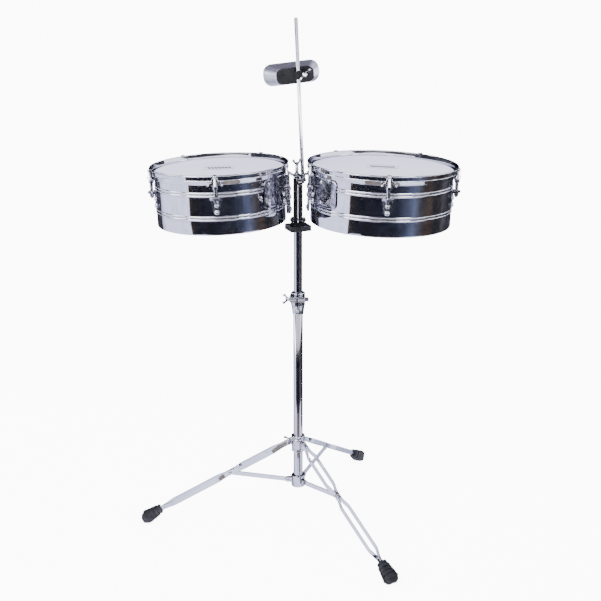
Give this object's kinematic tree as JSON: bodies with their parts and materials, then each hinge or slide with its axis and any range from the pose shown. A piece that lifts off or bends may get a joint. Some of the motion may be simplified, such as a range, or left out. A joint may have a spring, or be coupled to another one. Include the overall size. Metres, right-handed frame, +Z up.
{
  "type": "timbales",
  "caption": "Shallow metal drums with claw-tuned heads and a cowbell on a rod, on a height-adjustable folding tripod stand.",
  "frame": {"origin": "middle of the footprint on the floor, at the bottom of the bounding box; the pole stands 11.6 mm to +X and 28.6 mm to -Y of it", "axes": "+Z up along the pole; +X from the smaller drum to the larger drum; -Y towards the player-facing front where the cowbell crown points"},
  "size_m": [0.8451, 0.7599, 1.3462],
  "materials": {
    "chrome": "mirror chrome plate",
    "plated_steel": "satin chrome plate on cast and forged fittings",
    "drum_film": "sprayed, finely textured polyester film",
    "black_paint": "semi-gloss black powder coat",
    "rubber": "matte ribbed rubber"
  },
  "bodies": {
    "stand_base": {"base_tube": "chrome", "brace_collar": "plated_steel", "height_clamp": "plated_steel"},
    "leg_collar": {"leg_collar": "plated_steel"},
    "leg_collar_bolt": {"leg_collar_bolt": "plated_steel"},
    "height_clamp_bolt": {"height_clamp_bolt": "plated_steel"},
    "upper_tube": {"upper_tube": "chrome"},
    "tilter_block": {"tilter_block": "black_paint"},
    "tilter_posts": {"tilter_posts": "chrome"},
    "drum_wing_bolt": {"drum_wing_bolt": "plated_steel"},
    "cowbell_rod": {"cowbell_rod": "chrome"},
    "cowbell_clamp": {"cowbell_clamp": "black_paint"},
    "cowbell": {"cowbell": "chrome"},
    "leg_1": {"leg_1": "chrome", "foot_1": "rubber"},
    "brace_1": {"brace_1": "chrome"},
    "leg_2": {"leg_2": "chrome", "foot_2": "rubber"},
    "brace_2": {"brace_2": "chrome"},
    "leg_3": {"leg_3": "chrome", "foot_3": "rubber"},
    "brace_3": {"brace_3": "chrome"},
    "left_drum": {"left_drum_shell": "chrome", "left_drum_head": "drum_film", "left_drum_hoop": "chrome", "left_drum_mount": "chrome", "left_drum_lug_1": "chrome", "left_drum_lug_2": "chrome", "left_drum_lug_3": "chrome", "left_drum_lug_4": "chrome", "left_drum_lug_5": "chrome", "left_drum_claw_1": "chrome", "left_drum_claw_2": "chrome", "left_drum_claw_3": "chrome", "left_drum_claw_4": "chrome", "left_drum_claw_5": "chrome"},
    "left_drum_rod_1": {"left_drum_rod_1": "plated_steel"},
    "left_drum_rod_2": {"left_drum_rod_2": "plated_steel"},
    "left_drum_rod_3": {"left_drum_rod_3": "plated_steel"},
    "left_drum_rod_4": {"left_drum_rod_4": "plated_steel"},
    "left_drum_rod_5": {"left_drum_rod_5": "plated_steel"},
    "right_drum": {"right_drum_shell": "chrome", "right_drum_head": "drum_film", "right_drum_hoop": "chrome", "right_drum_mount": "chrome", "right_drum_lug_1": "chrome", "right_drum_lug_2": "chrome", "right_drum_lug_3": "chrome", "right_drum_lug_4": "chrome", "right_drum_lug_5": "chrome", "right_drum_claw_1": "chrome", "right_drum_claw_2": "chrome", "right_drum_claw_3": "chrome", "right_drum_claw_4": "chrome", "right_drum_claw_5": "chrome"},
    "right_drum_rod_1": {"right_drum_rod_1": "plated_steel"},
    "right_drum_rod_2": {"right_drum_rod_2": "plated_steel"},
    "right_drum_rod_3": {"right_drum_rod_3": "plated_steel"},
    "right_drum_rod_4": {"right_drum_rod_4": "plated_steel"},
    "right_drum_rod_5": {"right_drum_rod_5": "plated_steel"}
  },
  "joints": [
    {"name": "leg_fold", "type": "slide", "parent": "stand_base", "child": "leg_collar", "axis": [0, 0, 1], "range_m": [0, 0.2285]},
    {"name": "leg_1_hinge", "type": "hinge", "parent": "leg_collar", "child": "leg_1", "pos_m": [-0.01524, -0.03232, 0.2249], "axis": [0.1374, -0.9905, 0], "range_deg": [0, 57.2]},
    {"name": "brace_1_hinge", "type": "hinge", "parent": "stand_base", "child": "brace_1", "pos_m": [-0.01742, -0.03263, 0.1144], "axis": [-0.1374, 0.9905, 0], "range_deg": [0, 76.7]},
    {"name": "leg_2_hinge", "type": "hinge", "parent": "leg_collar", "child": "leg_2", "pos_m": [0.02825, -0.04998, 0.2249], "axis": [0.7891, 0.6143, 0], "range_deg": [0, 57.2]},
    {"name": "brace_2_hinge", "type": "hinge", "parent": "stand_base", "child": "brace_2", "pos_m": [0.0296, -0.05172, 0.1144], "axis": [-0.7891, -0.6143, 0], "range_deg": [0, 76.7]},
    {"name": "leg_3_hinge", "type": "hinge", "parent": "leg_collar", "child": "leg_3", "pos_m": [0.0218, -0.00349, 0.2249], "axis": [-0.9265, 0.3762, 0], "range_deg": [0, 57.2]},
    {"name": "brace_3_hinge", "type": "hinge", "parent": "stand_base", "child": "brace_3", "pos_m": [0.02262, -0.00145, 0.1144], "axis": [0.9265, -0.3762, 0], "range_deg": [0, 76.7]},
    {"name": "leg_collar_bolt_turn", "type": "hinge", "parent": "leg_collar", "child": "leg_collar_bolt", "pos_m": [-0.00609, -0.04453, 0.2385], "axis": [-0.7431, -0.6691, 0], "continuous": true},
    {"name": "height_clamp_bolt_turn", "type": "hinge", "parent": "stand_base", "child": "height_clamp_bolt", "pos_m": [-0.0087, -0.0526, 0.6365], "axis": [-1, 0, 0], "continuous": true},
    {"name": "height_slide", "type": "slide", "parent": "stand_base", "child": "upper_tube", "axis": [0, 0, 1], "range_m": [-0.13, 0.2]},
    {"name": "head_swivel", "type": "hinge", "parent": "upper_tube", "child": "tilter_block", "pos_m": [0.0116, -0.0286, 0.815], "axis": [0, 0, 1], "continuous": true},
    {"name": "drum_tilt", "type": "hinge", "parent": "tilter_block", "child": "tilter_posts", "pos_m": [0.0116, -0.0286, 0.842], "axis": [1, 0, 0], "range_deg": [-30, 30]},
    {"name": "drum_wing_bolt_turn", "type": "hinge", "parent": "tilter_posts", "child": "drum_wing_bolt", "pos_m": [0.0086, -0.0246, 0.95], "axis": [0, 0, 1], "continuous": true},
    {"name": "left_drum_swing", "type": "hinge", "parent": "tilter_posts", "child": "left_drum", "pos_m": [0.0086, -0.0246, 0.95], "axis": [0, 0, 1], "range_deg": [-8, 8]},
    {"name": "left_drum_rod_1_turn", "type": "hinge", "parent": "left_drum", "child": "left_drum_rod_1", "pos_m": [-0.1728, -0.20443, 0.93662], "axis": [-0.0384, 0, 0.9993], "continuous": true},
    {"name": "left_drum_rod_2_turn", "type": "hinge", "parent": "left_drum", "child": "left_drum_rod_2", "pos_m": [-0.01632, -0.0683, 0.94263], "axis": [-0.0384, 0, 0.9993], "continuous": true},
    {"name": "left_drum_rod_3_turn", "type": "hinge", "parent": "left_drum", "child": "left_drum_rod_3", "pos_m": [-0.09734, 0.12269, 0.93952], "axis": [-0.0384, 0, 0.9993], "continuous": true},
    {"name": "left_drum_rod_4_turn", "type": "hinge", "parent": "left_drum", "child": "left_drum_rod_4", "pos_m": [-0.30388, 0.10461, 0.93159], "axis": [-0.0384, 0, 0.9993], "continuous": true},
    {"name": "left_drum_rod_5_turn", "type": "hinge", "parent": "left_drum", "child": "left_drum_rod_5", "pos_m": [-0.35052, -0.09756, 0.9298], "axis": [-0.0384, 0, 0.9993], "continuous": true},
    {"name": "right_drum_swing", "type": "hinge", "parent": "tilter_posts", "child": "right_drum", "pos_m": [0.0086, -0.0246, 0.95], "axis": [0, 0, 1], "range_deg": [-8, 8]},
    {"name": "right_drum_rod_1_turn", "type": "hinge", "parent": "right_drum", "child": "right_drum_rod_1", "pos_m": [0.24068, -0.22018, 0.9442], "axis": [0.0314, 0, 0.9995], "continuous": true},
    {"name": "right_drum_rod_2_turn", "type": "hinge", "parent": "right_drum", "child": "right_drum_rod_2", "pos_m": [0.40854, -0.07418, 0.93893], "axis": [0.0314, 0, 0.9995], "continuous": true},
    {"name": "right_drum_rod_3_turn", "type": "hinge", "parent": "right_drum", "child": "right_drum_rod_3", "pos_m": [0.32164, 0.13066, 0.94166], "axis": [0.0314, 0, 0.9995], "continuous": true},
    {"name": "right_drum_rod_4_turn", "type": "hinge", "parent": "right_drum", "child": "right_drum_rod_4", "pos_m": [0.10006, 0.11127, 0.94862], "axis": [0.0314, 0, 0.9995], "continuous": true},
    {"name": "right_drum_rod_5_turn", "type": "hinge", "parent": "right_drum", "child": "right_drum_rod_5", "pos_m": [0.05002, -0.10557, 0.9502], "axis": [0.0314, 0, 0.9995], "continuous": true},
    {"name": "cowbell_rod_turn", "type": "hinge", "parent": "tilter_posts", "child": "cowbell_rod", "pos_m": [0.0258, -0.0446, 0.94], "axis": [-0.0438, 0, 0.999], "continuous": true},
    {"name": "cowbell_slide", "type": "slide", "parent": "cowbell_rod", "child": "cowbell_clamp", "axis": [-0.0438, 0, 0.999], "range_m": [-0.1, 0.1]},
    {"name": "cowbell_tilt", "type": "hinge", "parent": "cowbell_clamp", "child": "cowbell", "pos_m": [0.01215, -0.03075, 1.20772], "axis": [-0.1337, 0.989, -0.0628], "range_deg": [-45, 45]}
  ],
  "couplings": [
    {"joint": "leg_1_hinge", "follows": "leg_fold", "rad_per_m": 4.3312},
    {"joint": "brace_1_hinge", "follows": "leg_fold", "rad_per_m": 5.8201},
    {"joint": "leg_2_hinge", "follows": "leg_fold", "rad_per_m": 4.3312},
    {"joint": "brace_2_hinge", "follows": "leg_fold", "rad_per_m": 5.8201},
    {"joint": "leg_3_hinge", "follows": "leg_fold", "rad_per_m": 4.3312},
    {"joint": "brace_3_hinge", "follows": "leg_fold", "rad_per_m": 5.8201}
  ]
}
